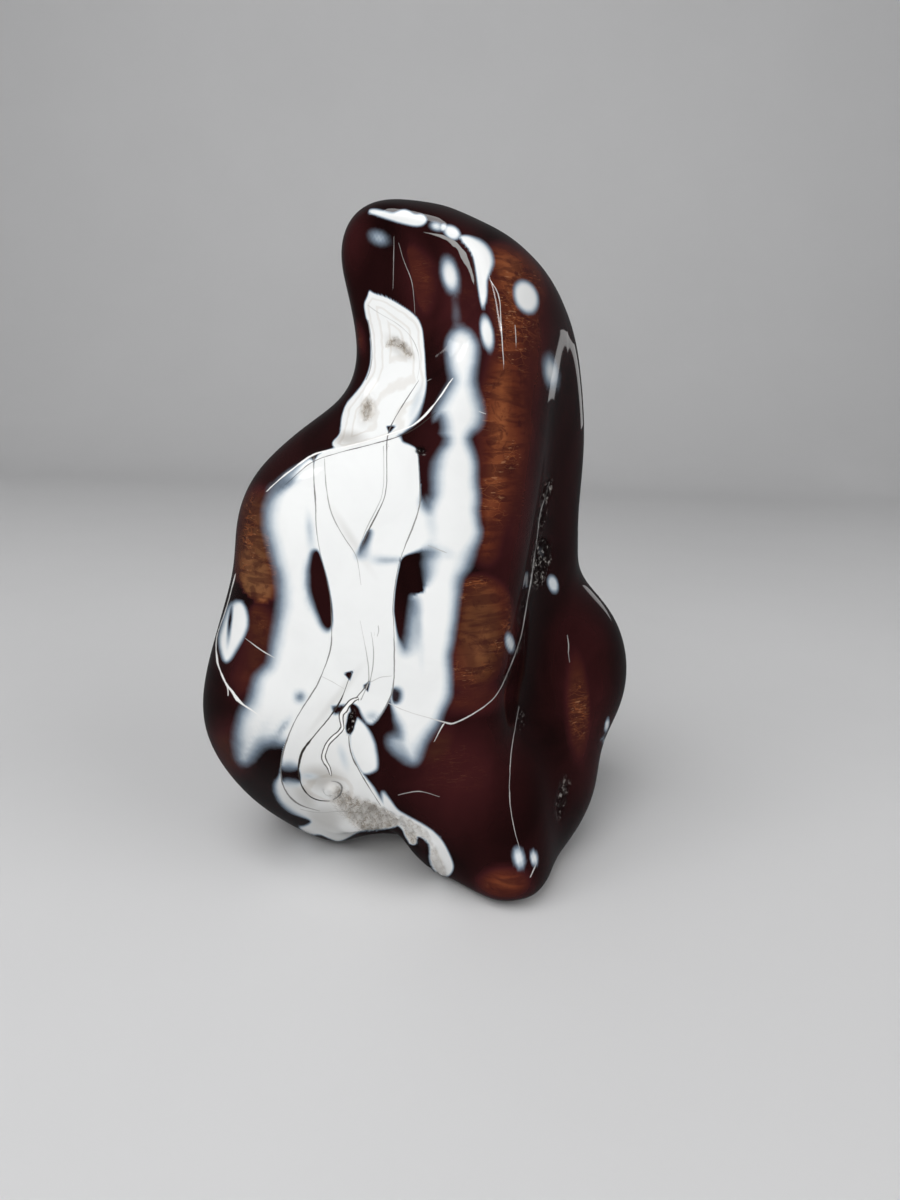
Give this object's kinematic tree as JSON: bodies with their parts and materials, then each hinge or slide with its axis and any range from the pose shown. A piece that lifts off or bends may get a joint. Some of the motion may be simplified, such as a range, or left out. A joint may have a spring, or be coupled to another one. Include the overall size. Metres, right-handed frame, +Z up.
{
  "type": "polished free-form carnelian",
  "caption": "Polished free-form carnelian that stands on its ground foot: dark red-brown stone with white chalcedony bands, a hooked head over a scooped neck and a small arch under the front.",
  "frame": {"origin": "on the floor under the middle of the stone's bounding box", "axes": "+Z up along the stone's height, -Y towards the viewer of its banded show face, +X to that viewer's right"},
  "size_m": [0.1264, 0.096, 0.1828],
  "materials": {
    "stone": "polished"
  },
  "bodies": {
    "root": {"stone": "stone"}
  },
  "joints": []
}
